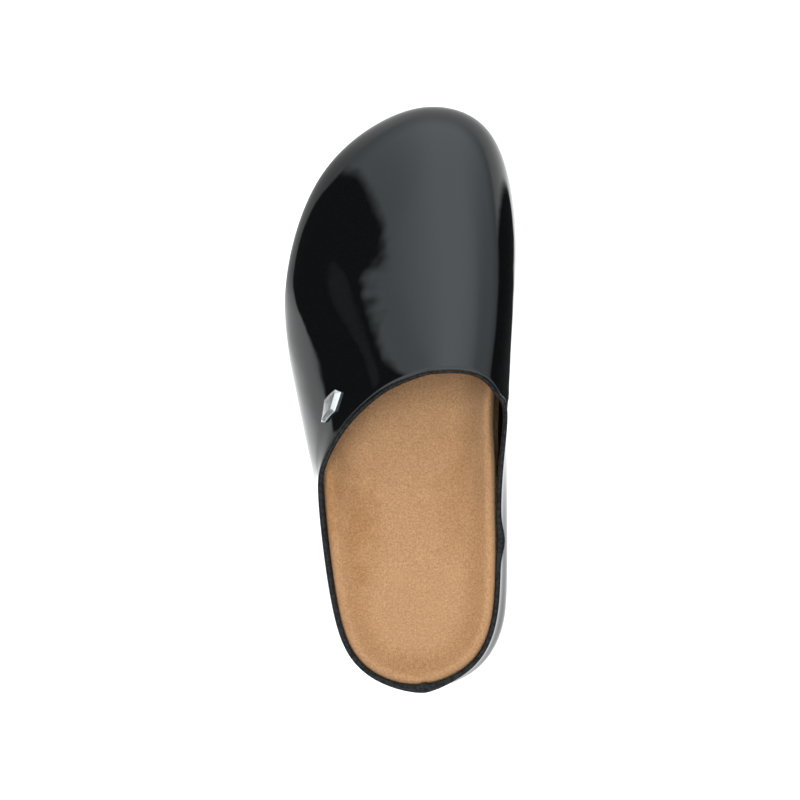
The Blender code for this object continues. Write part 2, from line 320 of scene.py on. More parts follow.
    def facing(self, turn: np.ndarray, level: np.ndarray) -> np.ndarray:
        """Outward direction of the upper's outer face.

        Args:
            turn: Count of rows round the slipper.
            level: Place on the section.

        Returns:
            Unit vectors.
        """
        turn, level = np.broadcast_arrays(np.asarray(turn, float), np.asarray(level, float))
        side = self.skin(turn + NUDGE, level) - self.skin(turn - NUDGE, level)
        return unit(np.cross(self.climb(turn, level), side))

    def relief(self, points: np.ndarray) -> np.ndarray:
        """Height of the leather's folds.

        Args:
            points: Points of the upper's face.

        Returns:
            Height along the face's outward direction.
        """
        height = np.zeros(points.shape[:-1])
        for fold in FOLDS:
            start = self.plan(fold.along, fold.across)[:2]
            run = self.plan(fold.end_along, fold.end_across)[:2] - start
            away = points[..., :2] - start
            part = np.clip(away @ run / (run @ run), 0.0, 1.0)
            gap = np.linalg.norm(away - part[..., None] * run, axis=-1)
            height = height + fold.height * np.exp(-((gap / fold.width) ** 2))
        return height

    def leather(self, turn: np.ndarray, level: np.ndarray | float, depth: float) -> np.ndarray:
        """The upper's outer face with its folds, or a plain face some depth inside it.

        Args:
            turn: Count of rows round the slipper.
            level: Place on the section.
            depth: Move inwards.

        Returns:
            Points of the moved face.
        """
        face = self.skin(turn, level)
        out = self.facing(turn, np.asarray(level, float))
        height = self.relief(face) if depth == 0.0 else np.full(face.shape[:-1], -depth)
        return face + height[..., None] * out


LAST = Last()


def turns(count: int) -> np.ndarray:
    """Even places round the slipper, in counts of table rows."""
    return np.arange(count) * len(SPOKES) / count


def section_levels(start: float, tuck_rows: int, rows: int) -> np.ndarray:
    """Levels of the upper's section, from a start under the widest line up to the rim."""
    return np.concatenate([np.linspace(start, 0.0, tuck_rows)[:-1], np.linspace(0.0, 1.0, rows)])


class Band(NamedTuple):
    """A smooth change of range: the two ends of the input and the result at each."""

    low: float
    high: float
    start: float = 0.0
    end: float = 1.0


class Grain(NamedTuple):
    """Noise in space: waves a metre, octaves and the weight of the finer ones."""

    scale: float
    detail: float
    rough: float


MOTTLE = Band(0.3, 0.7)


def shade(colour: Colour, share: float) -> Colour:
    """A colour made darker or paler."""
    return tuple(share * part for part in colour[:3]) + (1.0,)


class Graph:
    """Short hand for building a node tree."""

    def __init__(self, tree: bpy.types.NodeTree) -> None:
        """Keep the tree to add to."""
        self.tree = tree

    def add(self, kind: str, **values: object) -> bpy.types.Node:
        """Add a node.

        Args:
            kind: Node type.
            **values: Properties of the node, or inputs by name with _ for a space.

        Returns:
            The node.
        """
        node = self.tree.nodes.new(kind)
        for name, value in values.items():
            if hasattr(node, name):
                setattr(node, name, value)
            else:
                self.fill(node, **{name: value})
        return node

    def fill(self, node: bpy.types.Node, **values: object) -> None:
        """Feed inputs of a node, by name with _ for a space."""
        for name, value in values.items():
            self.feed(node.inputs[name.replace("_", " ")], value)

    def feed(self, socket: Socket, value: object) -> None:
        """Set or link an input.

        Args:
            socket: Input to feed.
            value: A number, a tuple or an output socket.
        """
        if isinstance(value, Socket):
            self.tree.links.new(value, socket)
        else:
            socket.default_value = value

    def noise(self, where: Socket, grain: Grain) -> Socket:
        """The value of noise in space."""
        values = {"Scale": grain.scale, "Detail": grain.detail, "Roughness": grain.rough}
        return self.add("ShaderNodeTexNoise", Vector=where, **values).outputs["Fac"]

    def ramp(self, value: Socket, band: Band) -> Socket:
        """A smooth change of range.

        Args:
            value: Input value.
            band: The input's range and the result at its ends.

        Returns:
            The result.
        """
        node = self.add("ShaderNodeMapRange", interpolation_type="SMOOTHSTEP", Value=value)
        for name, number in zip(("From Min", "From Max", "To Min", "To Max"), band):
            node.inputs[name].default_value = number
        return node.outputs["Result"]

    def math(self, rule: str, first: object, second: object) -> Socket:
        """A sum, product or other rule of two values.

        Args:
            rule: Rule of the math node.
            first: First value.
            second: Second value.

        Returns:
            The result.
        """
        node = self.add("ShaderNodeMath", operation=rule)
        self.feed(node.inputs[0], first)
        self.feed(node.inputs[1], second)
        return node.outputs[0]

    def vector(self, rule: str, first: Socket, second: tuple[float, float, float]) -> Socket:
        """A rule of a vector and a fixed vector.

        Args:
            rule: Rule of the vector math node.
            first: The vector.
            second: The fixed vector.

        Returns:
            The resulting vector.
        """
        node = self.add("ShaderNodeVectorMath", operation=rule)
        self.feed(node.inputs[0], first)
        self.feed(node.inputs[1], second)
        return node.outputs[0]

    def lerp(self, share: object, first: object, second: object) -> Socket:
        """A mix of two values.

        Args:
            share: Weight of the second.
            first: Value at weight 0.
            second: Value at weight 1.

        Returns:
            The mixed value.
        """
        node = self.add("ShaderNodeMix", data_type="FLOAT")
        self.feed(node.inputs[0], share)
        self.feed(node.inputs[2], first)
        self.feed(node.inputs[3], second)
        return node.outputs[0]

    def blend(self, share: object, first: object, second: object) -> Socket:
        """A mix of two colours.

        Args:
            share: Weight of the second.
            first: Colour at weight 0.
            second: Colour at weight 1.

        Returns:
            The mixed colour.
        """
        node = self.add("ShaderNodeMix", data_type="RGBA")
        colour_inputs = [socket for socket in node.inputs if socket.type == "RGBA"]
        self.feed(node.inputs[0], share)
        self.feed(colour_inputs[0], first)
        self.feed(colour_inputs[1], second)
        return [socket for socket in node.outputs if socket.type == "RGBA"][0]

    def bump(self, height: Socket, depth: float) -> Socket:
        """The normal of a bump with its depth in metres, over heights from 0 to 1."""
        node = self.add("ShaderNodeBump", Height=height, Distance=depth, Strength=1.0)
        return node.outputs["Normal"]


@dataclass(frozen=True)
class Finish(ABC):
    """A procedural material."""

    name: str

    @abstractmethod
    def wire(self, graph: Graph, where: Socket, shader: bpy.types.Node) -> None:
        """Wire the finish.

        Args:
            graph: Graph of the material.
            where: Object coordinates in metres.
            shader: Its Principled shader.
        """

    def material(self) -> bpy.types.Material:
        """Make the material.

        Returns:
            The material.
        """
        made = bpy.data.materials.new(self.name)
        made.use_nodes = True
        graph = Graph(made.node_tree)
        where = graph.add("ShaderNodeTexCoord").outputs["Object"]
        self.wire(graph, where, made.node_tree.nodes["Principled BSDF"])
        return made


@dataclass(frozen=True)
class PatentFinish(Finish):
    """Black leather under a clear lacquer."""

    name: str = "patent_black"
    colour: Colour = (0.0012, 0.0013, 0.0014, 1.0)
    deep_share: float = 0.7
    grain: Grain = Grain(900.0, 3.0, 0.6)
    grain_depth: float = 0.00002
    pull: Grain = Grain(55.0, 2.0, 0.5)
    pull_depth: float = 0.00012
    rough: float = 0.45
    coat_rough: float = 0.03
    coat_index: float = 1.5

    def wire(self, graph: Graph, where: Socket, shader: bpy.types.Node) -> None:
        """Wire a dark base with a faint grain under a smooth coat.

        Args:
            graph: Graph of the material.
            where: Object coordinates in metres.
            shader: Its Principled shader.
        """
        grain = graph.noise(where, self.grain)
        deep = shade(self.colour, self.deep_share)
        graph.fill(
            shader,
            Base_Color=graph.blend(graph.ramp(grain, MOTTLE), deep, self.colour),
            Normal=graph.bump(grain, self.grain_depth),
            Roughness=self.rough,
            Specular_IOR_Level=0.0,
            Coat_Weight=1.0,
            Coat_Roughness=self.coat_rough,
            Coat_IOR=self.coat_index,
            Coat_Normal=graph.bump(graph.noise(where, self.pull), self.pull_depth),
        )


class Patch(NamedTuple):
    """A patch of the footbed, part wear and part painted shade, in metres, with the share of its darker
    colour.
    """

    name: str
    across: float
    along: float
    reach_across: float
    reach_along: float
    share: float


@dataclass(frozen=True)
class SuedeFinish(Finish):
    """Tan suede with a short nap, worn in places, with painted shade in patches and in a band inside the
    rim.
    """

    name: str = "suede_tan"
    light: Colour = (0.227, 0.121, 0.0605, 1.0)
    dark: Colour = (0.124, 0.062, 0.0285, 1.0)
    # darker, richer tan used both for worn places and for painted shade
    wear_and_shade_light: Colour = (0.178, 0.085, 0.0350, 1.0)
    wear_and_shade_dark: Colour = (0.090, 0.041, 0.0155, 1.0)
    nap: Grain = Grain(1150.0, 4.0, 0.8)
    nap_tone: Band = Band(0.26, 0.74)
    nap_depth: float = 0.0003
    cloud: Grain = Grain(70.0, 4.0, 0.6)
    cloud_tone: Band = Band(0.2, 0.8, 0.0, 0.1)
    # darker patches, part wear and part painted shade: painted contact shade by the outer waist's edge and
    # painted shade on the sloping banks
    patches: tuple[Patch, ...] = (
        Patch("outer_waist", -0.0300, -0.047, 0.0110, 0.034, 0.75),
        Patch("outer_heel", -0.0190, -0.062, 0.0115, 0.040, 0.80),
        Patch("inner_arch", 0.0285, -0.040, 0.0130, 0.036, 0.45),
    )
    patch_core: float = 0.1
    patch_end: float = 1.15
    patch_cloud: Band = Band(0.2, 0.8, -0.35, 0.35)
    # painted shade: a darker band on the bank inside the rim's crest, weaker towards the toe
    rim_shade_start: Band = Band(3.0, 5.5)
    rim_shade_end: Band = Band(8.0, 18.0, 0.48, 0.0)
    rim_shade_fade: Band = Band(-0.05, -0.015, 1.0, 0.1)
    rough: float = 0.95
    gloss: float = 0.1
    sheen: float = 0.1
    sheen_rough: float = 0.5
    sheen_tint: Colour = (0.9, 0.65, 0.42, 1.0)

    def wear_and_shade(self, graph: Graph, where: Socket, cloud: Socket) -> Socket:
        """Share of the darker colour: painted shade in a band inside the rim's crest and soft patches, part
        wear and part painted shade, with cloudy edges.

        Args:
            graph: Graph of the material.
            where: Object coordinates in metres.
            cloud: Slow noise.

        Returns:
            The share.
        """
        # painted shade in a band about 3 to 18 mm in from the rim, where the bank slopes away from the light
        rim = graph.add("ShaderNodeAttribute", attribute_name="rim").outputs["Fac"]
        total = graph.math("MULTIPLY", graph.ramp(rim, self.rim_shade_start), graph.ramp(rim, self.rim_shade_end))
        along = graph.add("ShaderNodeSeparateXYZ", Vector=where).outputs["Y"]
        total = graph.math("MULTIPLY", total, graph.ramp(along, self.rim_shade_fade))
        # patches of wear and painted shade
        for patch in self.patches:
            away = graph.vector("SUBTRACT", where, (patch.across, patch.along, 0.0))
            scaled = graph.vector("MULTIPLY", away, (1.0 / patch.reach_across, 1.0 / patch.reach_along, 0.0))
            far = graph.add("ShaderNodeVectorMath", operation="LENGTH", Vector=scaled)
            ragged = graph.math("ADD", far.outputs["Value"], graph.ramp(cloud, self.patch_cloud))
            spot = graph.ramp(ragged, Band(self.patch_core, self.patch_end, patch.share, 0.0))
            total = graph.math("MAXIMUM", total, spot)
        return total

    def wire(self, graph: Graph, where: Socket, shader: bpy.types.Node) -> None:
        """Wire a mottled colour, a fine nap, patches of wear and painted shade, a painted shade band inside
        the rim and a soft sheen.

        Args:
            graph: Graph of the material.
            where: Object coordinates in metres.
            shader: Its Principled shader.
        """
        nap = graph.noise(where, self.nap)
        cloud = graph.noise(where, self.cloud)
        share = graph.math("ADD", graph.ramp(nap, self.nap_tone), graph.ramp(cloud, self.cloud_tone))
        tone = graph.blend(share, self.dark, self.light)
        # the darker tan of worn places and of painted shade
        worn = graph.blend(share, self.wear_and_shade_dark, self.wear_and_shade_light)
        graph.fill(
            shader,
            Base_Color=graph.blend(self.wear_and_shade(graph, where, cloud), tone, worn),
            Normal=graph.bump(nap, self.nap_depth),
            Roughness=self.rough,
            Specular_IOR_Level=self.gloss,
            Sheen_Weight=self.sheen,
            Sheen_Roughness=self.sheen_rough,
            Sheen_Tint=self.sheen_tint,
        )


@dataclass(frozen=True)
class SatinFinish(Finish):
    """Dark satin leather with a pebbled grain and a broken gloss."""

    name: str = "satin_black"
    colour: Colour = (0.003, 0.0033, 0.0036, 1.0)
    rough: float = 0.4
    gloss: float = 0.5
    grain_depth: float = 0.00008
    broken: float = 0.2
    pale_share: float = 1.6
    rough_spread: float = 0.08
    grain: Grain = Grain(1500.0, 3.0, 0.6)
    wear: Grain = Grain(120.0, 3.0, 0.6)
    pebble: Grain = Grain(650.0, 2.0, 0.5)
    pebble_tone: Band = Band(0.38, 0.62)

    def wire(self, graph: Graph, where: Socket, shader: bpy.types.Node) -> None:
        """Wire a dark colour, a fine grain and a broken gloss.

        Args:
            graph: Graph of the material.
            where: Object coordinates in metres.
            shader: Its Principled shader.
        """
        grain = graph.noise(where, self.grain)
        pale = shade(self.colour, self.pale_share)
        worn = MOTTLE._replace(start=self.rough - self.rough_spread, end=self.rough + self.rough_spread)
        shine = self.pebble_tone._replace(
            start=self.gloss * (1.0 - self.broken), end=self.gloss * (1.0 + self.broken)
        )
        graph.fill(
            shader,
            Base_Color=graph.blend(graph.ramp(grain, MOTTLE), self.colour, pale),
            Roughness=graph.ramp(graph.noise(where, self.wear), worn),
            Normal=graph.bump(grain, self.grain_depth),
            Specular_IOR_Level=graph.ramp(graph.noise(where, self.pebble), shine),
        )


@dataclass(frozen=True)
class RubberFinish(Finish):
    """Matt moulded rubber."""

    name: str = "rubber_black"
    colour: Colour = (0.009, 0.009, 0.0095, 1.0)
    pale_share: float = 1.9
    grain: Grain = Grain(2200.0, 2.0, 0.5)
    grain_depth: float = 0.00006
    dust: Grain = Grain(70.0, 4.0, 0.6)
    dust_tone: Band = Band(0.4, 0.75)
    rough: Band = Band(0.3, 0.7, 0.5, 0.68)
    gloss: float = 0.4

    def wire(self, graph: Graph, where: Socket, shader: bpy.types.Node) -> None:
        """Wire a dark colour with a fine moulded grain and dusty patches.

        Args:
            graph: Graph of the material.
            where: Object coordinates in metres.
            shader: Its Principled shader.
        """
        dust = graph.noise(where, self.dust)
        pale = shade(self.colour, self.pale_share)
        graph.fill(
            shader,
            Base_Color=graph.blend(graph.ramp(dust, self.dust_tone), self.colour, pale),
            Roughness=graph.ramp(dust, self.rough),
            Normal=graph.bump(graph.noise(where, self.grain), self.grain_depth),
            Specular_IOR_Level=self.gloss,
        )


@dataclass(frozen=True)
class SteelFinish(Finish):
    """Steel with a slightly uneven polish."""

    name: str = "steel_polished"
    colour: Colour = (0.62, 0.62, 0.61, 1.0)
    polish: Grain = Grain(700.0, 3.0, 0.6)
    polish_depth: float = 0.00001
    rough: Band = Band(0.3, 0.7, 0.27, 0.37)

    def wire(self, graph: Graph, where: Socket, shader: bpy.types.Node) -> None:
        """Wire a bright metal with an uneven polish.

        Args:
            graph: Graph of the material.
            where: Object coordinates in metres.
            shader: Its Principled shader.
        """
        polish = graph.noise(where, self.polish)
        graph.fill(
            shader,
            Base_Color=self.colour,
            Metallic=1.0,
            Roughness=graph.ramp(polish, self.rough),
            Normal=graph.bump(polish, self.polish_depth),
        )


@dataclass(frozen=True)
class FloorFinish(Finish):
    """Pale matt floor."""

    name: str = "floor_pale"
    colour: Colour = (0.70, 0.64, 0.61, 1.0)
    rough: float = 0.9

    def wire(self, graph: Graph, where: Socket, shader: bpy.types.Node) -> None:
        """Wire one pale matt tone; the place on the floor plays no part."""
        graph.fill(shader, Base_Color=self.colour, Roughness=self.rough, Specular_IOR_Level=0.0)


def bands(rings: int, count: int, closed: bool) -> list[tuple[int, ...]]:
    """Faces between rings of equal count.

    Args:
        rings: Number of rings.
        count: Points of a ring.
        closed: Whether the last ring joins the first.

    Returns:
        Quads of point numbers.
    """
    faces = []
    for ring in range(rings if closed else rings - 1):
        here, there = ring * count, (ring + 1) % rings * count
        for i in range(count):
            j = (i + 1) % count
            faces.append((here + i, here + j, there + j, there + i))
    return faces


def caps(ring: np.ndarray, start: int) -> list[tuple[int, ...]]:
    """Faces across a ring, sewn from its heel end to its toe end.

    Args:
        ring: Points of the ring.
        start: Number of its first point.

    Returns:
        Triangles of point numbers.
    """
    count = len(ring)
    half = count // 2
    outer = list(range(half + 1))
    inner = [-i % count for i in range(half + 1)]
    faces = []
    a = b = 0
    while a < half or b < half:
        if b == half or (a < half and ring[outer[a + 1], 1] < ring[inner[b + 1], 1]):
            corners = (outer[a], outer[a + 1], inner[b])
            a += 1
        else:
            corners = (outer[a], inner[b + 1], inner[b])
            b += 1
        if len(set(corners)) == 3:
            faces.append(tuple(start + corner for corner in corners))
    return faces


@dataclass
class Piece(ABC):
    """A sub-assembly of the slipper: built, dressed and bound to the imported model."""

    name: str
    node: Node
    slot: Slot
    finish: Finish

    @abstractmethod
    def build(self) -> bpy.types.Object:
        """Make the piece's mesh.

        Returns:
            The new object.
        """

    def dress(self, shape: bpy.types.Object) -> None:
        """Give the piece its finish."""
        shape.data.materials.clear()
        shape.data.materials.append(self.finish.material())

    def make(self) -> bpy.types.Object:
        """Build, dress and bind the piece.

        Returns:
            The finished object.
        """
        shape = self.build()
        self.dress(shape)
        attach(shape, "root")
        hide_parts(self.node.value)
        LOG.info("%s: %d faces", self.name, len(shape.data.polygons))
        return shape

    def mesh(self, points: np.ndarray, faces: list[tuple[int, ...]]) -> bpy.types.Object:
        """Add a smooth closed mesh in metres.

        Args:
            points: Points in millimetres.
            faces: Faces of point numbers.

        Returns:
            The new object.
        """
        data = bpy.data.meshes.new(self.name)
        data.from_pydata((np.asarray(points) * MM).tolist(), [], faces)
        shape = bmesh.new()
        shape.from_mesh(data)
        bmesh.ops.recalc_face_normals(shape, faces=shape.faces)
        shape.to_mesh(data)
        shape.free()
        data.shade_smooth()
        made = bpy.data.objects.new(self.name, data)
        bpy.context.scene.collection.objects.link(made)
        return made

    def tube(self, rings: list[np.ndarray]) -> bpy.types.Object:
        """Add a ring-shaped mesh from rings of points in millimetres that close on themselves."""
        return self.mesh(np.concatenate(rings), bands(len(rings), len(rings[0]), True))

    def disc(self, rings: list[np.ndarray]) -> bpy.types.Object:
        """Add a solid from rings that run from its base's middle out, up and back in.

        Args:
            rings: Rings of points in millimetres.

        Returns:
            The new object.
        """
        last = (len(rings) - 1) * len(rings[0])
        faces = bands(len(rings), len(rings[0]), False)
        faces += caps(rings[0], 0) + caps(rings[-1], last)
        return self.mesh(np.concatenate(rings), faces)


@dataclass
class Layer(Piece):
    """A layer of the upper between two depths under its outer face."""

    spokes: int
    rows: int
    tuck_rows: int
    tuck_level: float
    start: float
    end: float
    inner_skip: int

    def build(self) -> bpy.types.Object:
        """Loft the layer from under the feather edge up to the rim and back.

        Returns:
            The layer's object.
        """
        at = turns(self.spokes)
        levels = section_levels(self.tuck_level, self.tuck_rows, self.rows)
        outer = [LAST.leather(at, level, self.start) for level in levels]
        inner = [LAST.leather(at, level, self.end) for level in levels[:: -self.inner_skip]]
        return self.tube(outer + inner)


@dataclass
class Shell(Layer):
    """The patent leather shell."""

    name: str = "upper_shell"
    node: Node = Node.UPPER
    slot: Slot = Slot.PATENT
    finish: Finish = PatentFinish()
    spokes: int = 480
    rows: int = 110
    tuck_rows: int = 20
    tuck_level: float = -1.6
    start: float = 0.0
    end: float = 1.2
    inner_skip: int = 4


@dataclass
class Lining(Layer):
    """The dark leather lining inside the shell."""

    name: str = "upper_lining"
    node: Node = Node.UPPER
    slot: Slot = Slot.BINDING
    finish: Finish = SatinFinish("lining_dark", (0.0035, 0.0028, 0.0024, 1.0), rough=0.6, gloss=0.1)
    spokes: int = 240
    rows: int = 36
    tuck_rows: int = 8
    tuck_level: float = -1.5
    start: float = 1.25
    end: float = 2.0
    inner_skip: int = 1


@dataclass
class Footbed(Piece):
    """The contoured footbed with its raised rim."""

    name: str = "footbed"
    node: Node = Node.INSOLE
    slot: Slot = Slot.SUEDE
    finish: Finish = SuedeFinish()
    spokes: int = 320
    base_inset: float = 30.0
    shy_end: float = 0.3
    crest_inset: float = 3.5
    slope_run: float = 18.0
    slope_turn: float = 0.12
    slope_power: float = 2.4
    edge_power: float = 3.5
    middle_heel: float = 27.0
    middle_toe: float = 8.0
    fall_start: float = 0.2
    fall_run: float = 0.5
    core: float = 0.93
    wall_rings: int = 9
    edge_rings: int = 11
    bed_rings: int = 34
    bed_power: float = 1.6
    probe_tuck: int = 10
    probe_rows: int = 40

    def wall_at(self, at: np.ndarray, heights: np.ndarray) -> np.ndarray:
        """Points a gap inside the upper's inner face.

        Args:
            at: Counts of table rows.
            heights: A height for each.

        Returns:
            Points at those heights.
        """
        levels = section_levels(FEATHER, self.probe_tuck, self.probe_rows)
        rows = np.stack([LAST.leather(at, level, LAST.wall + LAST.gap) for level in levels], axis=1)
        return np.array(
            [[np.interp(z, row[:, 2], row[:, axis]) for axis in range(3)] for z, row in zip(heights, rows)]
        )

    def middle(self, y: np.ndarray) -> np.ndarray:
        """Height of the bed along its middle."""
        fall = eased((LAST.share(y) - self.fall_start) / self.fall_run)
        return LAST.sole_top(y) + self.middle_heel + (self.middle_toe - self.middle_heel) * fall

    def bank(self, share: np.ndarray) -> np.ndarray:
        """Fall of the bed inside its crest: a tight turn, then a hollow that runs out level.

        Args:
            share: 0 at the crest, 1 where the bank ends.

        Returns:
            0 at the crest, 1 at the bed's middle height.
        """
        run = np.clip(share, 0.0, 1.0)
        run = run**2 * (1.0 + self.slope_turn) / (run + self.slope_turn)
        return 1.0 - (1.0 - run) ** self.slope_power

    def rings(self) -> list[np.ndarray]:
        """Loft the footbed from its base over the rim into the bed.

        Returns:
            Rings from the base's middle out, up and back in.
        """
        at = turns(self.spokes)
        base = LAST.sole_top(LAST.outline(at, 0.0)[:, 1])
        foot = base + LAST.wall + 2.0 * LAST.gap
        crest = base + LAST.column("bed", at)
        drop = LAST.column("drop", at)
        shy = np.maximum(LAST.column("shy", at), 0.0)
        step = LAST.tuck + LAST.margin + 2.0 * LAST.gap
        ledge = LAST.wall + 2.0 * LAST.gap
        rings = []
        for inset, lift in ((self.base_inset, LAST.gap), (step, LAST.gap), (step, ledge)):
            ring = LAST.outline(at, inset)
            ring[:, 2] = LAST.sole_top(ring[:, 1]) + lift
            rings.append(ring)
        for share in np.linspace(0.0, 1.0, self.wall_rings):
            ring = self.wall_at(at, foot + share * (crest - drop - foot))
            rings.append(ring + (eased(share / self.shy_end) * shy)[:, None] * LAST.inward(ring))
        edge = rings[-1]
        inward = LAST.inward(edge)
        reach = np.linalg.norm((LAST.spine_at(edge) - edge)[:, :2], axis=1)
        for share in np.linspace(0.0, 1.0, self.edge_rings)[1:]:
            ring = edge + (share * self.crest_inset) * inward
            ring[:, 2] = crest - drop * (1.0 - share) ** self.edge_power
            rings.append(ring)
        for share in np.linspace(0.0, 1.0, self.bed_rings)[1:] ** self.bed_power:
            inset = self.crest_inset + share * (self.core * reach - self.crest_inset)
            ring = edge + inset[:, None] * inward
            low = self.middle(ring[:, 1])
            ring[:, 2] = crest + (low - crest) * self.bank((inset - self.crest_inset) / self.slope_run)
            rings.append(ring)
        return rings

    def build(self) -> bpy.types.Object:
        """Make the footbed's mesh, each point with its distance in from the rim in millimetres.

        Returns:
            The footbed's object.
        """
        rings = self.rings()
        made = self.disc(rings)
        # the base has three rings, and the wall's come after them
        below = 3 + self.wall_rings
        edge = rings[below - 1]
        away = [np.linalg.norm((ring - edge)[:, :2], axis=1) for ring in rings]
        away[:below] = [np.zeros(self.spokes)] * below
        made.data.attributes.new("rim", "FLOAT", "POINT").data.foreach_set("value", np.concatenate(away))
        return made


class Swell(NamedTuple):
    """A place where the edge binding swells outwards, in turns of the rim and millimetres."""

    turn: float
    span: float
    lean: float
    out: float


@dataclass
class Binding(Piece):
    """The narrow bound edge of the collar, with its lapped ends at the heel."""

    name: str = "collar_edge"
    node: Node = Node.COLLAR
    slot: Slot = Slot.BINDING
    finish: Finish = SatinFinish(
        "binding_black",
        (0.002, 0.0021, 0.0022, 1.0),
        rough=0.22,
        gloss=0.16,
        grain_depth=0.00016,
        broken=0.42,
    )
    spokes: int = 480
    sides: int = 20
    wide: float = 2.5
    thin: float = 1.9
    tall: float = 2.8
    flat: float = 0.8
    seat: float = 0.04
    lip: float = 0.25
    square: float = 0.75
    slim_turn: float = 14.3
    slim_span: float = 1.1
    slim: float = 1.0
    lap_turn: float = 19.8
    lap_span: float = 0.08
    lap_in: float = 0.9
    lap_lean: float = 0.36
    lap_power: float = 1.5
    lap_out: float = 1.5
    swells: tuple[Swell, ...] = (Swell(16.54, 0.17, 0.5, 1.3), Swell(14.1, 0.42, 0.0, 0.6))

    def rings(self) -> list[np.ndarray]:
        """Sweep the edge's section along the rim.

        Returns:
            One ring for each point of the section.
        """
        at = turns(self.spokes)
        slim = self.slim * np.exp(-(((at - self.slim_turn) / self.slim_span) ** 2))[:, None]
        out = LAST.facing(at, np.ones_like(at))
        rim = LAST.leather(at, 1.0, LAST.wall + self.lip) + slim * out
        up = LAST.climb(at, np.ones_like(at))
        count = len(SPOKES)
        away = (at - self.lap_turn + count / 2.0) % count - count / 2.0
        lap = np.exp(-((away / self.lap_span) ** 2))[:, None]
        lean = np.exp(-np.abs(away / self.lap_lean) ** self.lap_power)[:, None]
        swell = np.zeros((self.spokes, 1))
        for spot in self.swells:
            share = np.exp(-(((at - spot.turn) / spot.span) ** 2))[:, None]
            rim = rim + spot.lean * share * out
            swell = swell + spot.out * share
        upright = np.sin(np.radians(LAST.column("dip", at)))[:, None]
        tall = self.flat + (self.tall - self.flat) * upright
        wide = self.thin + (self.wide - self.thin) * upright**2 - slim
        middle = rim + (self.seat + tall / 2.0) * up + wide / 2.0 * out
        rings = []
        for side in range(self.sides):
            angle = 2.0 * np.pi * side / self.sides
            c, s = np.cos(angle), np.sin(angle)
            x = np.sign(c) * abs(c) ** self.square
            y = np.sign(s) * abs(s) ** self.square
            half = wide / 2.0 + (self.lap_out * lean + swell if x > 0.0 else self.lap_in * lap)
            rings.append(middle + half * x * out + tall / 2.0 * y * up)
        return rings

    def build(self) -> bpy.types.Object:
        """Make the edge's mesh."""
        return self.tube(self.rings())


@dataclass
class Sole(Piece):
    """The low rubber outsole."""

    name: str = "outsole_body"
    node: Node = Node.OUTSOLE
    slot: Slot = Slot.RUBBER
    finish: Finish = RubberFinish()
    spokes: int = 288
    inset: float = 2.0
    taper: float = 0.6
    tread: float = 1.2
    edge_round: float = 1.2
    round_steps: int = 5
    chamfer: float = 0.5
    core_insets: tuple[float, ...] = (30.0, 15.0)
    rim_insets: tuple[float, ...] = (6.0, 2.0)
    side_shares: tuple[float, ...] = (0.35, 0.55, 0.75, 0.9)
    top_insets: tuple[float, ...] = (8.0, 16.0, 30.0)

    def ring(self, inset: float, share: float, lift: float) -> np.ndarray:
        """A ring between the tread face and the top.

        Args:
            inset: Move in from the widest line.
            share: 0 at the tread face, 1 at the top.
            lift: Height added.

        Returns:
            The ring's points.
        """
        points = LAST.outline(turns(self.spokes), inset)
        low = LAST.sole_bottom(points[:, 1]) + self.tread
        high = LAST.sole_top(points[:, 1])
        points[:, 2] = low + share * (high - low) + lift
        return points

    def build(self) -> bpy.types.Object:
        """Loft the sole from its tread face up its side and over its top.

        Returns:
            The sole's object.
        """
        edge = self.inset + self.taper
        spots = [(inset, 0.0, 0.0) for inset in self.core_insets]
        spots += [(edge + inset, 0.0, 0.0) for inset in self.rim_insets]
        for angle in np.linspace(0.0, np.pi / 2.0, self.round_steps):
            inward, lift = self.edge_round * (1.0 - np.array([np.sin(angle), np.cos(angle)]))
            spots.append((edge + inward, 0.0, lift))
        spots += [(edge - self.taper * share, share, 0.0) for share in self.side_shares]
        spots += [(self.inset, 1.0, -self.chamfer), (self.inset + self.chamfer, 1.0, 0.0)]
        spots += [(inset, 1.0, 0.0) for inset in self.top_insets]
        return self.disc([self.ring(*spot) for spot in spots])


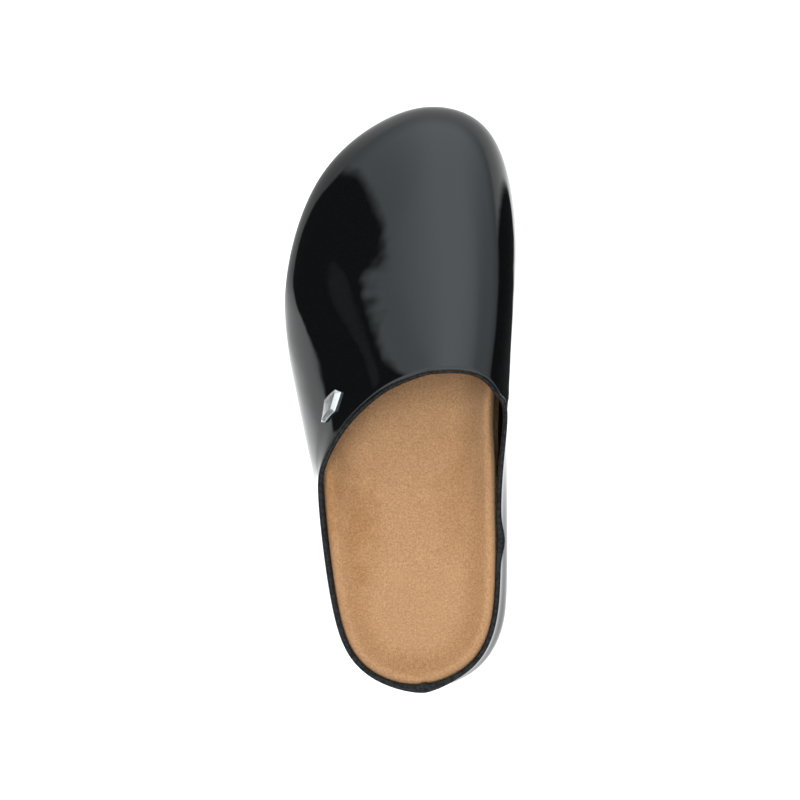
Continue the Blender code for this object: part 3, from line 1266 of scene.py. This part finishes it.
@dataclass
class Tread(Piece):
    """Plain cross ribs under the heel and the ball, swept along their paths by nodes."""

    name: str = "outsole_ribs"
    node: Node = Node.OUTSOLE
    slot: Slot = Slot.RUBBER
    finish: Finish = RubberFinish()
    pitch: float = 6.0
    root: float = 3.8
    crown: float = 2.8
    deep: float = 1.6
    inset: float = 7.0
    short: float = 12.0
    waist: tuple[float, float] = (0.33, 0.51)
    steps: int = 13
    outline_points: int = 1440
    probe: float = 1.0

    def paths(self) -> list[np.ndarray]:
        """Middle lines of the ribs over the tread plane.

        Returns:
            A row of points in millimetres for each rib.
        """
        edge = LAST.outline(turns(self.outline_points), self.inset)
        paths = []
        for y in np.arange(edge[:, 1].min() + self.pitch / 2.0, edge[:, 1].max(), self.pitch):
            share = float(LAST.share(np.array([y]))[0])
            near = edge[np.abs(edge[:, 1] - y) < self.probe][:, 0]
            if self.waist[0] < share < self.waist[1] or np.ptp(near) < self.short:
                continue
            path = np.zeros((self.steps, 3))
            path[:, 0] = np.linspace(near.min(), near.max(), self.steps)
            path[:, 1] = y
            path[:, 2] = LAST.sole_bottom(path[:, 1]) + self.deep / 2.0
            paths.append(path)
        return paths

    def sweep(self) -> bpy.types.NodeTree:
        """Nodes that sweep a tapered section along every path.

        Returns:
            The node group.
        """
        group = bpy.data.node_groups.new(self.name, "GeometryNodeTree")
        group.interface.new_socket("Paths", in_out="INPUT", socket_type="NodeSocketGeometry")
        for title in ("Root width", "Crown width", "Depth"):
            group.interface.new_socket(title, in_out="INPUT", socket_type="NodeSocketFloat")
        group.interface.new_socket("Rubber", in_out="INPUT", socket_type="NodeSocketMaterial")
        group.interface.new_socket("Ribs", in_out="OUTPUT", socket_type="NodeSocketGeometry")
        given = group.nodes.new("NodeGroupInput").outputs
        curve = group.nodes.new("GeometryNodeMeshToCurve")
        section = group.nodes.new("GeometryNodeCurvePrimitiveQuadrilateral")
        section.mode = "TRAPEZOID"
        section.inputs["Offset"].default_value = 0.0
        swept = group.nodes.new("GeometryNodeCurveToMesh")
        swept.inputs["Fill Caps"].default_value = True
        solid = group.nodes.new("GeometryNodeRealizeInstances")
        dressed = group.nodes.new("GeometryNodeSetMaterial")
        end = group.nodes.new("NodeGroupOutput")
        for source, target in (
            (given["Paths"], curve.inputs["Mesh"]),
            (given["Root width"], section.inputs["Bottom Width"]),
            (given["Crown width"], section.inputs["Top Width"]),
            (given["Depth"], section.inputs["Height"]),
            (curve.outputs["Curve"], swept.inputs["Curve"]),
            (section.outputs["Curve"], swept.inputs["Profile Curve"]),
            (swept.outputs["Mesh"], solid.inputs["Geometry"]),
            (solid.outputs["Geometry"], dressed.inputs["Geometry"]),
            (given["Rubber"], dressed.inputs["Material"]),
            (dressed.outputs["Geometry"], end.inputs["Ribs"]),
        ):
            group.links.new(source, target)
        return group

    def build(self) -> bpy.types.Object:
        """Sweep the ribs and keep their mesh.

        Returns:
            The ribs' object.
        """
        paths = self.paths()
        data = bpy.data.meshes.new(self.name + "_paths")
        count = range(len(paths) * self.steps)
        lines = [(n, n + 1) for n in count if (n + 1) % self.steps]
        data.from_pydata((np.concatenate(paths) * MM).tolist(), lines, [])
        drawn = bpy.data.objects.new(self.name + "_paths", data)
        bpy.context.scene.collection.objects.link(drawn)
        group = self.sweep()
        modifier = drawn.modifiers.new("ribs", "NODES")
        modifier.node_group = group
        values = {
            "Root width": self.root * MM,
            "Crown width": self.crown * MM,
            "Depth": self.deep * MM,
            "Rubber": self.finish.material(),
        }
        for item in group.interface.items_tree:
            if item.in_out == "INPUT" and item.name in values:
                modifier[item.identifier] = values[item.name]
        seen = drawn.evaluated_get(bpy.context.evaluated_depsgraph_get())
        made = bpy.data.objects.new(self.name, bpy.data.meshes.new_from_object(seen))
        bpy.context.scene.collection.objects.link(made)
        drawn.modifiers.clear()
        bpy.data.objects.remove(drawn)
        return made


@dataclass
class Stud(Piece):
    """The plain metal lozenge on the outer side."""

    name: str = "side_stud"
    node: Node = Node.STUD
    slot: Slot = Slot.STEEL
    finish: Finish = SteelFinish()
    turn: float = 5.409
    level: float = 0.757
    angle: float = -70.0
    long: float = 17.4
    wide: float = 9.0
    clip: float = 3.0
    slant: float = 0.65
    edge: float = 1.0
    tall: float = 2.2
    face_long: float = 14.4
    face_wide: float = 4.2
    seat: float = 0.05
    bevel: float = 0.25
    bevel_steps: int = 3
    cuts: int = 2
    sharp_angle: float = 28.0

    def place(self, local: np.ndarray) -> np.ndarray:
        """Seat a point of the lozenge on the leather.

        Args:
            local: Long, wide and height of the point.

        Returns:
            The point in the slipper's frame.
        """
        across = LAST.skin(self.turn + NUDGE, self.level) - LAST.skin(self.turn - NUDGE, self.level)
        upward = LAST.skin(self.turn, self.level + NUDGE) - LAST.skin(self.turn, self.level - NUDGE)
        slopes = np.stack([across, upward], axis=1) / (2.0 * NUDGE)
        normal = LAST.facing(np.array(self.turn), np.array(self.level))
        spoke = unit(upward)
        side = np.cross(spoke, normal)
        angle = radians(self.angle)
        along = np.cos(angle) * spoke + np.sin(angle) * side
        cross = np.cos(angle) * side - np.sin(angle) * spoke
        move = local[0] * along + local[1] * cross
        turn, level = np.linalg.lstsq(slopes, move, rcond=None)[0]
        turn, level = self.turn + turn, self.level + level
        return LAST.skin(turn, level) + local[2] * LAST.facing(np.array(turn), np.array(level))

    def build(self) -> bpy.types.Object:
        """Make a lozenge with clipped ends and a bevelled face and seat it.

        Returns:
            The lozenge's object.
        """
        long, wide, clip = self.long / 2.0, self.wide / 2.0, self.clip / 2.0
        short, far = long - self.slant, long + self.slant
        rim = ((short, -clip), (far, clip), (0.0, wide), (-short, clip), (-far, -clip), (0.0, -wide))
        points = [(a, b, height) for height in (self.seat, self.edge) for a, b in rim]
        points += [(self.face_long / 2.0, 0.0, self.tall), (0.0, self.face_wide / 2.0, self.tall)]
        points += [(-self.face_long / 2.0, 0.0, self.tall), (0.0, -self.face_wide / 2.0, self.tall)]
        count = len(rim)
        front, right, back, left = range(2 * count, 2 * count + 4)
        faces = [tuple(range(count))[::-1], (front, right, back, left)]
        faces += [(i, (i + 1) % count, count + (i + 1) % count, count + i) for i in range(count)]
        faces += [(count, count + 1, front), (count + 3, count + 4, back)]
        facets = ((1, right, front), (2, back, right), (4, left, back), (5, front, left))
        faces += [(count + i, count + (i + 1) % count, a, b) for i, a, b in facets]
        made = self.mesh(np.array(points), faces)
        shape = bmesh.new()
        shape.from_mesh(made.data)
        half = 0.5 * (self.seat + self.edge) * MM
        sharp = [e for e in shape.edges if max(v.co.z for v in e.verts) > half]
        turned = {"segments": self.bevel_steps, "profile": 0.5, "affect": "EDGES"}
        bmesh.ops.bevel(shape, geom=sharp, offset=self.bevel * MM, **turned)
        bmesh.ops.subdivide_edges(shape, edges=shape.edges, cuts=self.cuts, use_grid_fill=True)
        for vertex in shape.verts:
            vertex.co = Vector(self.place(np.array(vertex.co) / MM) * MM)
        if shape.calc_volume(signed=True) < 0.0:
            bmesh.ops.reverse_faces(shape, faces=shape.faces)
        shape.to_mesh(made.data)
        shape.free()
        made.data.shade_smooth()
        made.data.set_sharp_from_angle(angle=radians(self.sharp_angle))
        return made


class Heading(NamedTuple):
    """Parts of a light ray's direction: its level heading and its climb."""

    side: Socket
    fore: Socket
    up: Socket


@dataclass(frozen=True)
class Panel:
    """The broad light overhead, brightest over the toe."""

    glow: float = 2.15
    zenith: float = 0.87
    outer_side: Band = Band(-0.75, -0.05, 0.6, 1.0)
    inner_side: Band = Band(0.2, 1.0, 1.0, 0.5)
    horizon: Band = Band(0.0, 0.35, 0.68, 1.0)
    broad: Band = Band(0.61, 0.79, 0.0, 0.55)
    overhead: Band = Band(0.86, 0.985)

    def strength(self, graph: Graph, where: Heading) -> Socket:
        """Strength of the panel's light.

        Args:
            graph: Graph of the world.
            where: Direction of the ray.

        Returns:
            The light's strength.
        """
        sides = graph.math(
            "MULTIPLY", graph.ramp(where.side, self.outer_side), graph.ramp(where.side, self.inner_side)
        )
        sides = graph.lerp(graph.ramp(where.up, self.broad), sides, 1.0)
        sides = graph.lerp(graph.ramp(where.up, self.overhead), sides, self.zenith)
        low = graph.ramp(where.up, self.horizon)
        return graph.math("MULTIPLY", graph.math("MULTIPLY", sides, low), self.glow)


@dataclass(frozen=True)
class MirrorFloor:
    """What gloss sees below: pale before the toe and at the outer waist, dark at the inner side."""

    dark: float = 0.03
    front: Band = Band(-0.85, -0.45, 0.65, 1.35)
    heel_fore: Band = Band(0.02, 0.22, 1.0, 0.0)
    heel_side: Band = Band(-0.9, -0.7, 1.0, 0.0)
    heel_glow: Band = Band(-0.12, -0.04, 2.6, 1.6)
    steep_foot: Band = Band(0.3, 0.42, -0.97, -0.92)
    steep_edge: Band = Band(-0.02, 0.04)
    inner_wall: Band = Band(0.958, 0.982)
    inner_heel: Band = Band(-0.14, -0.03)
    inner_low: Band = Band(-0.75, -0.6)
    inner_side: Band = Band(0.89, 0.925)

    def strength(self, graph: Graph, where: Heading) -> Socket:
        """Strength of the light that gloss takes from below.

        Args:
            graph: Graph of the world.
            where: Direction of the ray.

        Returns:
            The light's strength.
        """
        heel = graph.math(
            "MULTIPLY", graph.ramp(where.fore, self.heel_fore), graph.ramp(where.side, self.heel_side)
        )
        pale = graph.lerp(heel, graph.ramp(where.side, self.front), graph.ramp(where.fore, self.heel_glow))
        steep = graph.math("SUBTRACT", where.up, graph.ramp(where.fore, self.steep_foot))
        deep = graph.math(
            "MAXIMUM", graph.ramp(steep, self.steep_edge), graph.ramp(where.side, self.inner_wall)
        )
        deep = graph.math("MULTIPLY", deep, graph.ramp(where.fore, self.inner_heel))
        deep = graph.math("MAXIMUM", deep, graph.ramp(where.up, self.inner_low))
        inner = graph.math("MULTIPLY", graph.ramp(where.side, self.inner_side), deep)
        return graph.lerp(inner, pale, self.dark)


@dataclass(frozen=True)
class DarkCard:
    """The dark card at the outer side, higher towards the toe and lowest before the ball."""

    dim: float = 0.05
    spot: float = 0.13
    spot_place: tuple[float, float] = (0.3, 0.385)
    spot_reach: tuple[float, float] = (0.06, 0.1)
    spot_run: tuple[float, float] = (0.1, 1.2)
    top: Band = Band(0.34, 0.66, 0.52, 0.635)
    top_edge: Band = Band(-0.03, 0.025, 1.0, 0.0)
    foot_heel: Band = Band(-0.03, 0.2, 0.01, -0.4)
    foot_toe: Band = Band(0.3, 0.66, -0.4, 0.04)
    foot_edge: Band = Band(-0.05, 0.04)
    side: Band = Band(-0.3, 0.3, -0.45, -0.703)
    side_edge: Band = Band(-0.037, 0.037, 1.0, 0.0)
    corner_up: Band = Band(0.1, 0.34, 0.054, 0.019)
    corner_fore: Band = Band(0.3, 0.55)

    def share(self, graph: Graph, where: Heading) -> Socket:
        """Share of a ray that meets the card.

        Args:
            graph: Graph of the world.
            where: Direction of the ray.

        Returns:
            One inside the card, nought outside.
        """
        foot = graph.math(
            "MAXIMUM", graph.ramp(where.fore, self.foot_heel), graph.ramp(where.fore, self.foot_toe)
        )
        under = graph.math("SUBTRACT", where.up, graph.ramp(where.fore, self.top))
        over = graph.math("SUBTRACT", where.up, foot)
        corner = graph.math(
            "MULTIPLY", graph.ramp(where.up, self.corner_up), graph.ramp(where.fore, self.corner_fore)
        )
        past = graph.math("SUBTRACT", where.side, graph.ramp(where.fore, self.side))
        past = graph.math("ADD", past, corner)
        tall = graph.math("MULTIPLY", graph.ramp(under, self.top_edge), graph.ramp(over, self.foot_edge))
        return graph.math("MULTIPLY", graph.ramp(past, self.side_edge), tall)

    def strength(self, graph: Graph, where: Heading) -> Socket:
        """Light from the card itself, which has one paler spot.

        Args:
            graph: Graph of the world.
            where: Direction of the ray.

        Returns:
            The light's strength.
        """
        squares = []
        for part, middle, reach in zip((where.fore, where.up), self.spot_place, self.spot_reach):
            away = graph.math("DIVIDE", graph.math("SUBTRACT", part, middle), reach)
            squares.append(graph.math("MULTIPLY", away, away))
        return graph.ramp(graph.math("ADD", *squares), Band(*self.spot_run, self.dim + self.spot, self.dim))


class Lamp(NamedTuple):
    """A square soft lamp that lights matt faces alone."""

    name: str
    place: tuple[float, float, float]
    side: float
    power: float


@dataclass
class Studio:
    """Floor, light and camera."""

    panel: Panel = Panel()
    mirror_floor: MirrorFloor = MirrorFloor()
    dark_card: DarkCard = DarkCard()
    horizon: Band = Band(-0.12, 0.08)
    backdrop: float = 0.95
    tint: Colour = (0.91, 1.0, 1.05, 1.0)
    floor_tint: Colour = (0.985, 1.0, 1.005, 1.0)
    floor_side: float = 8.0
    floor_height: float = -0.0001
    lamps: tuple[Lamp, ...] = (
        Lamp("lamp_overhead", (0.0, 0.0, 2.2), 1.3, 107.0),
        Lamp("lamp_heel", (0.3, -1.9, 1.5), 1.5, 8.0),
    )
    eye: tuple[float, float, float] = (0.06435, -0.0012, 1.0)
    aim: tuple[float, float, float] = (-0.0012, -0.0012, 0.0)
    lens: float = 95.7
    film: float = 36.0

    def lay_floor(self) -> None:
        """Add the floor."""
        half = self.floor_side / 2.0
        data = bpy.data.meshes.new("floor")
        plan = ((-half, -half), (half, -half), (half, half), (-half, half))
        corners = [(x, y, self.floor_height) for x, y in plan]
        data.from_pydata(corners, [], [(0, 1, 2, 3)])
        data.materials.append(FloorFinish().material())
        floor = bpy.data.objects.new("floor", data)
        floor.visible_glossy = False
        bpy.context.scene.collection.objects.link(floor)

    def heading(self, graph: Graph) -> Heading:
        """Split the ray's direction into the parts the light depends on.

        Args:
            graph: Graph of the world.

        Returns:
            The direction's parts.
        """
        where = graph.add("ShaderNodeTexCoord").outputs["Generated"]
        climb = graph.add("ShaderNodeSeparateXYZ", Vector=where).outputs["Z"]
        level = graph.vector("MULTIPLY", where, LEVEL)
        turned = graph.add("ShaderNodeVectorMath", operation="NORMALIZE", Vector=level)
        flat = graph.add("ShaderNodeSeparateXYZ", Vector=turned.outputs[0])
        return Heading(flat.outputs["X"], flat.outputs["Y"], climb)

    def light(self) -> None:
        """Add the studio's light as a world."""
        world = bpy.data.worlds.new("studio")
        bpy.context.scene.world = world
        world.use_nodes = True
        graph = Graph(world.node_tree)
        where = self.heading(graph)
        height = graph.ramp(where.up, self.horizon)
        below, above = self.mirror_floor.strength(graph, where), self.panel.strength(graph, where)
        level = graph.lerp(height, below, above)
        level = graph.lerp(self.dark_card.share(graph, where), level, self.dark_card.strength(graph, where))
        seen = graph.add("ShaderNodeLightPath").outputs["Is Camera Ray"]
        graph.fill(
            world.node_tree.nodes["Background"],
            Color=graph.blend(height, self.floor_tint, self.tint),
            Strength=graph.lerp(seen, level, self.backdrop),
        )

    def hang_lamps(self) -> None:
        """Add the soft lamps, unseen in gloss."""
        for lamp in self.lamps:
            data = bpy.data.lights.new(lamp.name, "AREA")
            data.size = lamp.side
            data.energy = lamp.power
            data.color = self.tint[:3]
            hung = bpy.data.objects.new(lamp.name, data)
            hung.location = lamp.place
            hung.rotation_euler = Vector(lamp.place).to_track_quat("Z", "Y").to_euler()
            hung.visible_glossy = False
            bpy.context.scene.collection.objects.link(hung)

    def stand_camera(self) -> None:
        """Add the camera over the slipper, turned so that the toe is at the top."""
        data = bpy.data.cameras.new("camera")
        data.lens = self.lens
        data.sensor_width = self.film
        camera = bpy.data.objects.new("camera", data)
        camera.location = self.eye
        back = (Vector(self.eye) - Vector(self.aim)).normalized()
        right = Vector((0.0, 1.0, 0.0)).cross(back).normalized()
        camera.rotation_euler = Matrix((right, back.cross(right), back)).transposed().to_euler()
        bpy.context.scene.collection.objects.link(camera)
        bpy.context.scene.camera = camera

    def set_up(self) -> None:
        """Add floor, light and camera and set the plain view transform."""
        self.lay_floor()
        self.light()
        self.hang_lamps()
        self.stand_camera()
        view = bpy.context.scene.view_settings
        view.view_transform = "Standard"
        view.look = "None"
        view.exposure = 0.0
        view.gamma = 1.0


def main() -> None:
    """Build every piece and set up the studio."""
    logging.basicConfig(level=logging.INFO, format="%(name)s: %(message)s")
    for piece in (Sole(), Tread(), Shell(), Lining(), Footbed(), Binding(), Stud()):
        piece.make()
    Studio().set_up()
    bpy.context.view_layer.update()
    LOG.info("boxes written")


if __name__ == "__main__":
    main()
